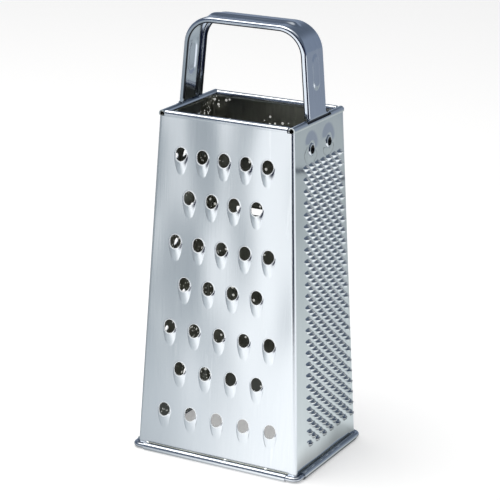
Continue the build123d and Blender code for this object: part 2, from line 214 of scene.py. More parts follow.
def wallEdges(name, wall):
    points, faces = [], []
    strip = body["flatStrip"]
    low = hemHeight(wall)
    offset, beadHeight, beadAngle = beadShape(wall)
    high = beadHeight - body["beadRadius"] * math.sin(beadAngle)
    hemEnd, beadEnd = curlEnds(wall)
    inner = body["hemRadius"] - body["sheet"]
    hemRow = []
    for angle in steps(180, 180 + body["hemTurn"], body["curlSteps"]):
        turn = math.radians(angle)
        hemRow.append((inner + inner * math.cos(turn), low + inner * math.sin(turn)))
    hemRow = [(0, low + strip)] + hemRow
    ribbon([[(x, y, z) for z, y in hemRow] for x in (-hemEnd, hemEnd)], faces, points)
    beadRow = [(0, high - strip)]
    start, radius = -math.degrees(beadAngle), body["beadRadius"]
    slotFrom, slotTo, touch = body["slotFrom"], body["slotTo"], body["slotTouch"]
    beforeSlot, alongSlot, afterSlot = body["beadSteps"]
    turns = steps(start, slotFrom, beforeSlot) + steps(slotFrom, slotTo, alongSlot)[1:]
    turns += steps(slotTo, start + body["beadTurn"], afterSlot)[1:]
    for angle in turns:
        turn = math.radians(angle)
        beadRow.append((offset + radius * math.cos(turn), beadHeight + radius * math.sin(turn)))
    beadRow = beadRow[::-1]
    turns = turns[::-1]
    # The narrow walls' beads are open along the top where the handle comes up
    stops = (-beadEnd, beadEnd) if wall["wide"] else (-beadEnd, -body["slotHalf"], body["slotHalf"], beadEnd)

    def rolled(r, c):
        if wall["wide"] or r != 1 or c + 1 == len(turns):
            return True
        return turns[c] > slotTo + touch or turns[c + 1] < slotFrom - touch

    ribbon([[(x, y, z) for z, y in beadRow] for x in stops], faces, points, rolled)
    rims = []
    if wall["wide"]:
        bend = body["cornerRadius"]
        for side in (-1, 1):
            rows = []
            for height in (low, high):
                reach = wallReach(wall, height)
                row = [(side * (reach - strip), height, 0)]
                for angle in steps(0, 90, body["cornerSteps"]):
                    turn = math.radians(angle)
                    across = side * (reach + bend * math.sin(turn))
                    row.append((across, height, bend * (math.cos(turn) - 1)))
                rows.append(row)
            ribbon(rows if side == 1 else rows[::-1], faces, points)
    else:
        # A narrow wall's bead runs on past the flat sheet, to the corners
        tip = halfDepth(body["creaseLevel"]) - body["sideBeadTip"]
        for ends in ((-tip, -beadEnd), (beadEnd, tip)):
            ribbon([[(x, y, z) for z, y in beadRow[:-1]] for x in ends], faces, points)
        # The sheet swells a little round each rivet
        sides, hole = rivet["sides"], rivet["hole"]
        hole = roundLoop(sides, hole, hole, hole)
        swollen = roundLoop(sides, rivet["swellAcross"], rivet["swellAbove"], rivet["swellBelow"])
        spots, rings = patchRings(hole, swollen, rivet["rings"], rivet["margin"], swell)
        y = rivet["level"] / math.cos(wall["lean"])
        for x in (-rivet["spacing"] / 2, rivet["spacing"] / 2):
            start = len(points)
            points.extend((x + px, y + py, pz) for px, py, pz in spots)
            faces.extend([start + index for index in ring] for ring in rings)
            rims.append(points[start:start + sides])
    edges = makeObject(name + "Edges", points, faces)
    # The flat sheet's own outline: it stops where a curl or a bend takes over
    reachLow = wallReach(wall, low)
    reachHigh = wallReach(wall, high)
    side = strip if wall["wide"] else 0
    outline = [(-reachLow + side, low, 0), (-hemEnd, low, 0), (-hemEnd, low + strip, 0)]
    outline += [(hemEnd, low + strip, 0), (hemEnd, low, 0), (reachLow - side, low, 0)]
    outline += [(reachHigh - side, high, 0), (stops[-1], high, 0)]
    outline += [(stop, high - strip, 0) for stop in reversed(stops)]
    outline += [(stops[0], high, 0), (-reachHigh + side, high, 0)]
    spots, links = [], []
    for loop in [outline] + rims:
        start = len(spots)
        spots.extend(loop)
        links.extend((start + i, start + (i + 1) % len(loop)) for i in range(len(loop)))
    return edges, makeObject(name + "Outline", spots, [], links)


# Teeth: each is a small patch of sheet round its hole, bent by its own height rule
ringSpread = 0.8        # below 1 the rings stand closer together at the hole


def patchRings(hole, outline, rings, margin, height, rim=0):
    # Rings from just outside the patch's outline in to the edge of its hole, the last one a narrow rim
    points, faces = [], []
    count = len(hole)
    middleX = sum(x for x, y in outline) / count
    middleY = sum(y for x, y in outline) / count
    loops = [[(middleX + (x - middleX) * margin, middleY + (y - middleY) * margin) for x, y in outline]]
    inner = hole
    if rim:
        inner = [(x * (1 + rim / math.hypot(x, y)), y * (1 + rim / math.hypot(x, y))) for x, y in hole]
    for step in range(rings + 1):
        share = (step / rings) ** ringSpread
        loops.append([
            (ox + (hx - ox) * share, oy + (hy - oy) * share)
            for (ox, oy), (hx, hy) in zip(outline, inner)
        ])
    if rim:
        loops.append(hole)
    for number, loop in enumerate(loops):
        for x, y in loop:
            points.append((x, y, 0 if number < 2 else height(x, y)))
    for ring in range(len(loops) - 1):
        for i in range(count):
            a = ring * count + i
            b = ring * count + (i + 1) % count
            faces.append((a, b, b + count, a + count))
    return points, faces


def toothPatch(name, hole, outline, size, height):
    points, faces = patchRings(hole, outline, size["rings"], size["margin"], height, size.get("rim", 0))
    rim = range(len(points) - 2 * len(hole), len(points)) if "rim" in size else ()
    return makeObject(name, points, faces, seam=range(len(hole)), rim=rim)


def roundLoop(sides, across, above, below):
    # A closed loop round a hole's middle, with its own reach above and below
    loop = []
    for i in range(sides):
        turn = 2 * math.pi * i / sides
        x, y = math.cos(turn), math.sin(turn)
        loop.append((across * x, (above if y > 0 else below) * y))
    return loop


def smoothStep(value):
    t = min(max(value, 0), 1)
    return t * t * (3 - 2 * t)


def scoopTooth(name, size):
    # A raised teardrop below an upright oval hole. The hole's rim stays nearly flat and leans outward.
    across, upright, lip, tail = size["holeAcross"], size["holeUpright"], size["lip"], size["tail"]
    side, top = across + size["skirt"], upright + size["skirt"]
    hole = roundLoop(size["sides"], across, upright, upright)
    outline = roundLoop(size["sides"], side, top, tail)

    def height(x, y):
        inside = 1 - (x / side) ** 2 - (min(y, 0) / tail) ** 2
        crest = smoothStep((upright * size["lipStart"] - y) / upright)
        run = min(max((-y - upright) / (tail - upright), 0), 1)
        dome = lip * crest * (1 - run ** size["tailCurve"]) * max(inside, 0) ** size["roundness"]
        ring = size["collar"] * smoothStep((1 - math.hypot(x / side, y / top)) / (1 - across / side))
        return dome + ring

    return toothPatch(name, hole, outline, size, height)


def burrTooth(name, size):
    # A pierced point: four petals of sheet stand round a small hole
    hole = []
    for i, (x, y) in enumerate(roundLoop(size["sides"], size["hole"], size["hole"], size["hole"])):
        petal = 1 if i % 2 else size["petalShare"]
        hole.append((x * petal, y * petal))
    outline = roundLoop(size["sides"], size["foot"], size["foot"], size["foot"])

    def height(x, y):
        share = (size["foot"] - math.hypot(x, y)) / (size["foot"] - size["hole"])
        return size["height"] * max(share, 0) ** size["curve"]

    return toothPatch(name, hole, outline, size, height)


def boxLoop(left, right, low, high, corner, perSide, perCorner):
    # A rounded rectangle as a loop, from its lower right corner round to the left
    loop = []
    centres = ((right, high, -1, -1), (left, high, 1, -1), (left, low, 1, 1), (right, low, -1, 1))
    for number, (x, y, inX, inY) in enumerate(centres):
        x, y = x + inX * corner, y + inY * corner
        for angle in steps(90 * number, 90 * number + 90, perCorner):
            turn = math.radians(angle)
            loop.append((x + corner * math.cos(turn), y + corner * math.sin(turn)))
        nextX, nextY, nextInX, nextInY = centres[(number + 1) % 4]
        startX, startY = loop[-1]
        turn = math.radians(90 * number + 90)
        endX = nextX + nextInX * corner + corner * math.cos(turn)
        endY = nextY + nextInY * corner + corner * math.sin(turn)
        for share in steps(0, 1, perSide)[1:-1]:
            loop.append((startX + (endX - startX) * share, startY + (endY - startY) * share))
    return loop


def bladeTooth(name, size):
    # A ramp that rises to a straight cutting edge over a slot, with sloping cheeks
    half, cheek, ramp, opening = size["length"] / 2, size["cheek"], size["ramp"], size["opening"]
    perSide, perCorner = size["perSide"], size["perCorner"]
    hole = boxLoop(-half, half, 0, opening, size["corner"], perSide, perCorner)
    reach = half + cheek
    outline = boxLoop(-reach, reach, -ramp, opening + size["skirt"], cheek, perSide, perCorner)

    def height(x, y):
        flank = smoothStep((reach - abs(x)) / cheek)
        climb = min(max((y + ramp) / ramp, 0), 1)
        crest = smoothStep((size["skirt"] - y) / size["skirt"])
        return size["lip"] * flank * climb * (crest if y > 0 else 1)

    return toothPatch(name, hole, outline, size, height)


# Node maths written as plain sums
class Field:
    def __init__(self, tree, socket):
        self.tree = tree
        self.socket = socket

    def math(self, operation, *others):
        node = self.tree.nodes.new("ShaderNodeMath")
        node.operation = operation
        for slot, value in zip(node.inputs, (self, *others)):
            if isinstance(value, Field):
                self.tree.links.new(value.socket, slot)
            else:
                slot.default_value = value
        return Field(self.tree, node.outputs[0])

    def __add__(self, other):
        return self.math("ADD", other)

    def __sub__(self, other):
        return self.math("SUBTRACT", other)

    def __mul__(self, other):
        return self.math("MULTIPLY", other)

    def __truediv__(self, other):
        return self.math("DIVIDE", other)


def newNode(tree, kind, **inputs):
    node = tree.nodes.new(kind)
    for key, value in inputs.items():
        slot = node.inputs[key.replace("_", " ")]
        if isinstance(value, Field):
            tree.links.new(value.socket, slot)
        elif isinstance(value, bpy.types.NodeSocket):
            tree.links.new(value, slot)
        else:
            slot.default_value = value
    return node


def parts(tree, vector):
    # The three numbers of a vector or a colour
    node = newNode(tree, "ShaderNodeSeparateXYZ", Vector=vector)
    return [Field(tree, output) for output in node.outputs]


def solid(colour):
    return (*colour, 1)


def blend(tree, share, low, high):
    # A mix of two colours, each a colour or another mix
    node = tree.nodes.new("ShaderNodeMix")
    node.data_type = "RGBA"
    tree.links.new(share.socket, node.inputs["Factor"])
    for slot, colour in ((node.inputs[6], low), (node.inputs[7], high)):
        if isinstance(colour, bpy.types.NodeSocket):
            tree.links.new(colour, slot)
        else:
            slot.default_value = colour
    return node.outputs[2]


def ramp(tree, value, low, high):
    node = newNode(tree, "ShaderNodeMapRange", Value=value)
    node.interpolation_type = "SMOOTHSTEP"
    node.inputs["From Min"].default_value = low
    node.inputs["From Max"].default_value = high
    return Field(tree, node.outputs[0])


toothInputs = (
    ("Rows", "NodeSocketInt"),
    ("Row Length", "NodeSocketInt"),
    ("First Height", "NodeSocketFloat"),
    ("Row Pitch", "NodeSocketFloat"),
    ("Short Row Rise", "NodeSocketFloat"),
    ("Top Spacing", "NodeSocketFloat"),
    ("Bottom Spacing", "NodeSocketFloat"),
    ("Top Shift", "NodeSocketFloat"),
    ("Bottom Shift", "NodeSocketFloat"),
    ("Tooth", "NodeSocketObject"),
    ("Outline", "NodeSocketObject"),
    ("Weld", "NodeSocketFloat"),
    ("Finish", "NodeSocketMaterial"),
)


def toothedSheetTree():
    # Rows of n and n - 1 teeth fan out down a wall, and flat sheet is filled in between them
    tree = bpy.data.node_groups.new("toothedSheet", "GeometryNodeTree")
    tree.interface.new_socket("Geometry", in_out="INPUT", socket_type="NodeSocketGeometry")
    for label, kind in toothInputs:
        tree.interface.new_socket(label, in_out="INPUT", socket_type=kind)
    tree.interface.new_socket("Geometry", in_out="OUTPUT", socket_type="NodeSocketGeometry")
    source = tree.nodes.new("NodeGroupInput")
    given = {label: Field(tree, source.outputs[label]) for label, kind in toothInputs}
    length = given["Row Length"]
    pair = length * 2 - 1
    index = Field(tree, tree.nodes.new("GeometryNodeInputIndex").outputs[0])
    place = index - (index / pair).math("FLOOR") * pair
    shorter = place.math("GREATER_THAN", length - 0.5)
    row = (index / pair).math("FLOOR") * 2 + shorter
    column = place - shorter * length
    share = row / (given["Rows"] - 1)
    spacing = given["Top Spacing"] + (given["Bottom Spacing"] - given["Top Spacing"]) * share
    shift = given["Top Shift"] + (given["Bottom Shift"] - given["Top Shift"]) * share
    across = (column - (length - 1 - shorter) / 2) * spacing + shift
    up = given["First Height"] - given["Row Pitch"] * row + given["Short Row Rise"] * shorter
    shortRows = (given["Rows"] / 2).math("FLOOR")
    total = given["Rows"] * length - shortRows
    position = newNode(tree, "ShaderNodeCombineXYZ", X=across, Y=up)
    dots = newNode(tree, "GeometryNodePoints", Count=total, Position=position.outputs[0])
    tooth = newNode(tree, "GeometryNodeObjectInfo", Object=given["Tooth"])
    placed = newNode(
        tree, "GeometryNodeInstanceOnPoints", Points=dots.outputs[0], Instance=tooth.outputs["Geometry"]
    )
    teeth = newNode(tree, "GeometryNodeRealizeInstances", Geometry=placed.outputs[0])
    gather = tree.nodes.new("GeometryNodeJoinGeometry")
    tree.links.new(teeth.outputs[0], gather.inputs[0])
    tree.links.new(source.outputs["Geometry"], gather.inputs[0])
    seam = tree.nodes.new("GeometryNodeInputNamedAttribute")
    seam.data_type = "BOOLEAN"
    seam.inputs["Name"].default_value = "onSeam"
    rims = newNode(
        tree, "GeometryNodeMeshToCurve", Mesh=gather.outputs[0], Selection=seam.outputs["Attribute"]
    )
    border = newNode(tree, "GeometryNodeObjectInfo", Object=given["Outline"])
    rim = newNode(tree, "GeometryNodeMeshToCurve", Mesh=border.outputs["Geometry"])
    lines = tree.nodes.new("GeometryNodeJoinGeometry")
    tree.links.new(rims.outputs[0], lines.inputs[0])
    tree.links.new(rim.outputs[0], lines.inputs[0])
    flat = newNode(tree, "GeometryNodeFillCurve", Curve=lines.outputs[0])
    whole = tree.nodes.new("GeometryNodeJoinGeometry")
    tree.links.new(flat.outputs[0], whole.inputs[0])
    tree.links.new(gather.outputs[0], whole.inputs[0])
    welded = newNode(tree, "GeometryNodeMergeByDistance", Geometry=whole.outputs[0], Distance=given["Weld"])
    smooth = newNode(tree, "GeometryNodeSetShadeSmooth", Geometry=welded.outputs[0])
    real = newNode(tree, "GeometryNodeRealizeInstances", Geometry=smooth.outputs[0])
    dressed = newNode(tree, "GeometryNodeSetMaterial", Geometry=real.outputs[0], Material=given["Finish"])
    sink = tree.nodes.new("NodeGroupOutput")
    tree.links.new(dressed.outputs[0], sink.inputs[0])
    return tree


toothTree = toothedSheetTree()


def setInput(modifier, label, value):
    for item in modifier.node_group.interface.items_tree:
        if item.item_type == "SOCKET" and item.in_out == "INPUT" and item.name == label:
            modifier[item.identifier] = value


def plainCopy(made, name):
    # The evaluated shape as a plain mesh, with its modifiers and helpers gone
    shape = made.evaluated_get(bpy.context.evaluated_depsgraph_get())
    mesh = bpy.data.meshes.new_from_object(shape)
    mesh.name = name
    copy = bpy.data.objects.new(name, mesh)
    bpy.context.scene.collection.objects.link(copy)
    return copy


def toothedWall(name, wall, tooth, grid, finish):
    edges, outline = wallEdges(name, wall)
    modifier = edges.modifiers.new("teeth", "NODES")
    modifier.node_group = toothTree
    values = dict(grid)
    values.update({"Tooth": tooth, "Outline": outline, "Weld": body["weld"] * mm, "Finish": finish})
    for label, value in values.items():
        setInput(modifier, label, value)
    thick = edges.modifiers.new("sheet", "SOLIDIFY")
    thick.thickness = body["sheet"] * mm
    thick.offset = -1
    piece = plainCopy(edges, name)
    for helper in (edges, outline, tooth):
        bpy.data.objects.remove(helper)
    # The inside of the sheet, between the curls, gets a duller finish darkened as painted shade, and a narrow
    # wall's hem is darkened as painted shade
    piece.data.materials.append(steel["hem"])
    piece.data.materials.append(steel["inside"])
    offset, beadHeight, beadAngle = beadShape(wall)
    low = (hemHeight(wall) + body["innerMargin"]) * mm
    high = (beadHeight - body["beadRadius"] - body["innerMargin"]) * mm
    hollow = (body["beadRadius"] - body["innerRoll"] * body["sheet"]) * mm
    for face in piece.data.polygons:
        reach = math.hypot(face.center.z - offset * mm, face.center.y - beadHeight * mm)
        if reach < hollow or face.normal.z < body["innerTilt"] and low < face.center.y < high:
            face.material_index = len(piece.data.materials) - 1
        elif not wall["wide"] and face.center.y < hemHeight(wall) * mm:
            face.material_index = len(piece.data.materials) - 2
    piece.data.transform(wall["place"])
    # The hem is flat where it stands on the table
    for vertex in piece.data.vertices:
        vertex.co.z = max(vertex.co.z, 0)
    piece.data.set_sharp_from_angle(angle=math.radians(body["sharpAngle"]))
    return piece


# Finishes. Scales are per metre along X, Y and Z, and depths are in millimetres.
sheetGrain = {
    "brushScale": (1400, 1400, 22),
    "smearScale": (55, 55, 9),
    "scratchScale": (260, 260, 30),
}
strapGrain = {
    "brushScale": (90, 1100, 90),
    "smearScale": (60, 60, 30),
    "rippleScale": (60, 60, 60),
    "scratchScale": (120, 300, 120),
    "brushDepth": 0.002,
    "rippleDepth": 0.35,
}
looks = {
    "wall": {
        **sheetGrain,
        "colour": (0.72, 0.745, 0.775),
        "darkColour": (0.60, 0.635, 0.675),
        "rough": (0.13, 0.24),
        # Painted highlight on the holes' rims
        "rimHighlightColour": (0.90, 0.93, 0.96),
        "rimHighlight": 0.7,
        "rippleScale": (38, 38, 20),
        "brushDepth": 0.006,
        "rippleDepth": 1.6,
    },
    "narrow": {
        **sheetGrain,
        "colour": (0.72, 0.745, 0.76),
        "darkColour": (0.62, 0.65, 0.67),
        "rough": (0.025, 0.06),
        # Painted highlight on the holes' rims
        "rimHighlightColour": (0.90, 0.93, 0.96),
        "rimHighlight": 0.6,
        "rippleScale": (38, 38, 26),
        "brushDepth": 0.004,
        "rippleDepth": 1.2,
    },
    # Painted shade: a narrow wall's hem is coloured dark
    "hem": {
        **sheetGrain,
        "colour": (0.25, 0.27, 0.30),
        "darkColour": (0.14, 0.155, 0.18),
        "rough": (0.04, 0.10),
        "rippleScale": (38, 38, 26),
        "brushDepth": 0.004,
        "rippleDepth": 1.2,
    },
    # Painted shade: the inside is coloured dark olive, and painted glints glow on it
    "inside": {
        "colour": (0.50, 0.50, 0.44),
        "darkColour": (0.16, 0.165, 0.14),
        "rough": (0.20, 0.34),
        "speck": 0.22,
        "speckColour": (0.95, 0.95, 0.90),
        "speckGlow": 0.45,
        "speckScale": 300.0,
        "speckLack": 0.55,
        "leftGlintScale": 620.0,
        "leftGlintLack": 0.5,
        "leftGlintEdge": -30.0,
        "brushScale": (700, 700, 120),
        "smearScale": (160, 160, 60),
        "rippleScale": (60, 60, 30),
        "scratchScale": (420, 420, 200),
        "brushDepth": 0.02,
        "rippleDepth": 0.5,
    },
    "handle": {
        **strapGrain,
        "colour": (0.64, 0.68, 0.74),
        "darkColour": (0.50, 0.545, 0.61),
        "rough": (0.06, 0.13),
    },
    # Painted shade: near black, for the flange's cut faces and the strap's foot in the slot
    "paintedStrapShade": {
        **strapGrain,
        "colour": (0.045, 0.05, 0.06),
        "darkColour": (0.015, 0.016, 0.02),
        "rough": (0.20, 0.35),
    },
    "wire": {
        "colour": (0.66, 0.69, 0.73),
        "darkColour": (0.50, 0.53, 0.58),
        "rough": (0.10, 0.20),
        "brushScale": (300, 300, 900),
        "smearScale": (80, 80, 80),
        "rippleScale": (60, 60, 60),
        "scratchScale": (200, 200, 200),
        "brushDepth": 0.002,
        "rippleDepth": 0.3,
    },
    "rivet": {
        "colour": (0.78, 0.80, 0.82),
        "darkColour": (0.55, 0.58, 0.62),
        "rough": (0.10, 0.20),
        # Painted shade: a dark disc over each rivet's hollow
        "core": 2.4,
        "coreWave": 0.4,
        "coreColour": (0.03, 0.03, 0.028),
        "brushScale": (700, 700, 700),
        "smearScale": (300, 300, 300),
        "rippleScale": (200, 200, 200),
        "scratchScale": (500, 500, 500),
        "brushDepth": 0.002,
        "rippleDepth": 0.05,
    },
}
# How the marks of every finish add up
marks = {
    "smear": 0.6,
    "brush": 0.5,
    "scratch": 0.25,
    "scratchLack": 0.7,
    "brushRough": 0.5,
    "rimHighlightFall": 2.0,
}


def steelMaterial(name, look):
    # Bright sheet steel: fine brushing, wider smears, faint scratches and a slow ripple in the sheet
    material = bpy.data.materials.new(name)
    material.use_nodes = True
    tree = material.node_tree
    shader = tree.nodes["Principled BSDF"]
    shader.inputs["Metallic"].default_value = 1.0
    place = tree.nodes.new("ShaderNodeTexCoord").outputs["Object"]

    def noise(scale, detail):
        stretched = newNode(tree, "ShaderNodeMapping", Vector=place, Scale=scale)
        made = newNode(tree, "ShaderNodeTexNoise", Vector=stretched.outputs[0], Scale=1.0, Detail=detail)
        return Field(tree, made.outputs["Fac"])

    brush = noise(look["brushScale"], 2.0)
    smear = noise(look["smearScale"], 4.0)
    ripple = noise(look["rippleScale"], 0.0)
    scratch = noise(look["scratchScale"], 2.0).math("GREATER_THAN", marks["scratchLack"])
    share = smear * marks["smear"] + brush * marks["brush"] + scratch * marks["scratch"]
    colour = blend(tree, share, solid(look["darkColour"]), solid(look["colour"]))
    if "core" in look:
        # Painted shade: a dark disc stands for the shade in each tubular rivet's hollow
        x, y, z = parts(tree, place)
        besideAxis = y.math("ABSOLUTE") - rivet["spacing"] / 2 * mm
        aboveAxis = z - rivet["level"] * mm
        reach = (besideAxis * besideAxis + aboveAxis * aboveAxis).math("SQRT")
        reach = reach + smear * look["coreWave"] * mm
        colour = blend(tree, reach.math("LESS_THAN", look["core"] * mm), colour, solid(look["coreColour"]))
    if "rimHighlight" in look:
        # Painted highlight: the edges of the holes are pale and less metallic, so they look lit from every side
        shine = tree.nodes.new("ShaderNodeAttribute")
        shine.attribute_name = "rim"
        pale = Field(tree, shine.outputs["Fac"]).math("POWER", marks["rimHighlightFall"])
        colour = blend(tree, pale, colour, solid(look["rimHighlightColour"]))
        tree.links.new((pale * -look["rimHighlight"] + 1).socket, shader.inputs["Metallic"])
    if "speck" in look:
        # Painted glints: glowing pale specks stand for light through the holes on the inside, more finely toward
        # the left wall
        def specks(scale, lack):
            cells = newNode(tree, "ShaderNodeTexVoronoi", Vector=place, Scale=scale)
            near = Field(tree, cells.outputs["Distance"]).math("LESS_THAN", look["speck"])
            return near * parts(tree, cells.outputs["Color"])[0].math("GREATER_THAN", lack)

        atLeft = parts(tree, place)[0].math("LESS_THAN", look["leftGlintEdge"] * mm)
        leftGlints = specks(look["leftGlintScale"], look["leftGlintLack"]) * atLeft
        lit = specks(look["speckScale"], look["speckLack"]).math("MAXIMUM", leftGlints)
        colour = blend(tree, lit, colour, solid(look["speckColour"]))
        tree.links.new((lit * look["speckGlow"]).socket, shader.inputs["Emission Strength"])
        shader.inputs["Emission Color"].default_value = solid(look["speckColour"])
    tree.links.new(colour, shader.inputs["Base Color"])
    smooth, dull = look["rough"]
    rough = smear * (dull - smooth) + brush * (dull - smooth) * marks["brushRough"] + smooth
    tree.links.new(rough.socket, shader.inputs["Roughness"])
    waves = newNode(tree, "ShaderNodeBump", Height=ripple, Strength=1.0, Distance=look["rippleDepth"] * mm)
    grain = newNode(tree, "ShaderNodeBump", Height=brush, Strength=1.0, Distance=look["brushDepth"] * mm)
    tree.links.new(waves.outputs[0], grain.inputs["Normal"])
    tree.links.new(grain.outputs[0], shader.inputs["Normal"])
    return material


steel = {name: steelMaterial(name + "Steel", look) for name, look in looks.items()}
print("finishes:", len(steel))


def toothGrid(wall, size):
    # The tree's inputs for a wall's rows of teeth: levels are upright, and the tree works up the slope
    slope = math.cos(wall["lean"])
    grid = {"Rows": size["rows"], "Row Length": size["rowLength"]}
    grid["First Height"] = size["firstLevel"] * mm / slope
    grid["Row Pitch"] = size["rowPitch"] * mm / slope
    grid["Short Row Rise"] = size.get("shortRowRise", 0.0) * mm / slope
    grid["Top Spacing"], grid["Bottom Spacing"] = [spacing * mm for spacing in size["spacing"]]
    grid["Top Shift"], grid["Bottom Shift"] = [shift * mm for shift in size.get("shift", (0.0, 0.0))]
    return grid


def addWall(name, side, node, makeTooth, size):
    wall = walls[side]
    tooth = makeTooth(name + "Tooth", size)
    finish = steel["wall" if wall["wide"] else "narrow"]
    piece = toothedWall(name, wall, tooth, toothGrid(wall, size), finish)
    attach(piece, "root")
    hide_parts(node)
    print(name + ":", len(piece.data.polygons), "faces")


# Each wall's rows run from the top down. Spacing and shift are those of the top row and the bottom row.
# Front wall: shredding scoops
coarseWall = {
    "rows": 7,
    "rowLength": 5,
    "firstLevel": 159.7,
    "rowPitch": 22.62,
    "shortRowRise": 0.9,
    "spacing": (12.2, 15.4),
    "holeAcross": 3.2,
    "holeUpright": 3.5,
    "lip": 1.35,
    "tail": 10.5,
    "roundness": 0.55,
    "rim": 0.3,
    "lipStart": 0.16,
    "tailCurve": 2.2,
    "collar": 0.04,
    "skirt": 0.75,
    "sides": 44,
    "rings": 11,
    "margin": 1.05,
}
addWall("frontWall", "front", "coarse_wall", scoopTooth, coarseWall)

# Left wall: smaller scoops
mediumWall = {
    "rows": 9,
    "rowLength": 5,
    "firstLevel": 152.0,
    "rowPitch": 15.6,
    "spacing": (9.0, 11.6),
    "holeAcross": 1.95,
    "holeUpright": 2.1,
    "lip": 1.0,
    "tail": 6.4,
    "roundness": 0.55,
    "rim": 0.3,
    "lipStart": 0.16,
    "tailCurve": 2.2,
    "collar": 0.03,
    "skirt": 0.55,
    "sides": 32,
    "rings": 8,
    "margin": 1.05,
}
addWall("leftWall", "left", "medium_wall", scoopTooth, mediumWall)

# Right wall: pierced burrs, off centre toward the rear
fineWall = {
    "rows": 49,
    "rowLength": 7,
    "firstLevel": 158.0,
    "rowPitch": 2.975,
    "spacing": (6.3, 8.017),
    "shift": (3.5, 6.0),
    "foot": 1.92,
    "hole": 0.82,
    "petalShare": 0.8,
    "height": 1.3,
    "curve": 1.2,
    "sides": 8,
    "rings": 2,
    "margin": 1.08,
}
addWall("rightWall", "right", "fine_wall", burrTooth, fineWall)

# Back wall: slicing blades, one to each second row
slicingWall = {
    "rows": 7,
    "rowLength": 1,
    "firstLevel": 148.0,
    "rowPitch": 17.0,
    "spacing": (0.0, 0.0),
    "length": 49.0,
    "cheek": 3.5,
    "lip": 2.2,
    "ramp": 13.0,
    "opening": 4.5,
    "skirt": 1.6,
    "corner": 1.0,
    "perSide": 12,
    "perCorner": 3,
    "rings": 6,
    "margin": 1.02,
}
addWall("backWall", "back", "slicing_wall", bladeTooth, slicingWall)

# Handle: a strap with rounded edges, swept along an arch, with soft pressed ribs
handle = {
    "top": 226.1,
    "width": 19.5,
    "gauge": 0.8,
    "flange": 2.8,
    "cut": 0.6,
    "shade": 3.0,
    "edge": 1.4,
    "bend": 15.5,
    "lean": 5.0,
    "neckLevel": 181.4,
    "neckRadius": 6.0,
    "shoulderLevel": 180.6,
    "endLevel": 159.0,
    "tabHalf": 12.5,
    "rib": 1.0,
    "ribHalf": 3.9,
    "ribSlope": 3.3,
    "legRib": 0.4,
    "legRibHalf": 4.3,
    "legRibSlope": 1.8,
    "crownRib": 52.0,
    "legRibTop": 212.0,
    "legRibLow": 194.0,
    "stride": 0.9,
    "flatColumns": 26,
    "edgeColumns": 6,
    "levelMargin": 0.01,
    "shoulderStep": 0.002,          # share of the run in which the strap widens
    "cutFrom": 2.0,
    "sharpAngle": 40.0,
}


def handlePath():
    # The right half of the arch's outside as (x, z), from the crown down
    lean = math.radians(handle["lean"])
    neck, end = [
        (halfWidth(level) - body["sheet"] / math.cos(widthLean), level)
        for level in (handle["neckLevel"], handle["endLevel"])
    ]
    shoulder = neck[0] - (handle["top"] - handle["neckLevel"]) * math.tan(lean)
    corners = [(0, handle["top"]), (shoulder, handle["top"]), neck, end]
    radii = [0, handle["bend"], handle["neckRadius"], 0]
    corners = [Vector(corner) for corner in corners]
    dots = [corners[0]]
    for i in range(1, len(corners) - 1):
        before = (corners[i - 1] - corners[i]).normalized()
        after = (corners[i + 1] - corners[i]).normalized()
        half = before.angle(after) / 2
        reach = radii[i] / math.tan(half)
        middle = corners[i] + (before + after).normalized() * radii[i] / math.sin(half)
        start = corners[i] + before * reach
        turn = math.pi - 2 * half
        begin = math.atan2(start.y - middle.y, start.x - middle.x)
        if before.cross(after) < 0:
            turn = -turn
        count = max(3, round(abs(turn) * radii[i] / handle["stride"]))
        for share in steps(0, 1, count):
            angle = begin - turn * share
            dots.append(middle + Vector((math.cos(angle), math.sin(angle))) * radii[i])
    dots.append(corners[-1])
    return dots


def ribRise(along, across, level):
    # How far the pressed ribs stand out, from the distance to the middle line of each
    def ridge(offset, length, half, slope, rise):
        reach = math.hypot(max(offset - (length / 2 - half), 0), across)
        return rise * smoothStep((half - reach) / slope)

    crown = ridge(abs(along), handle["crownRib"], handle["ribHalf"], handle["ribSlope"], handle["rib"])
    legMiddle = (handle["legRibTop"] + handle["legRibLow"]) / 2
    legLength = handle["legRibTop"] - handle["legRibLow"]
    leg = ridge(
        abs(level - legMiddle), legLength, handle["legRibHalf"], handle["legRibSlope"], handle["legRib"]
    )
    return max(crown, leg)


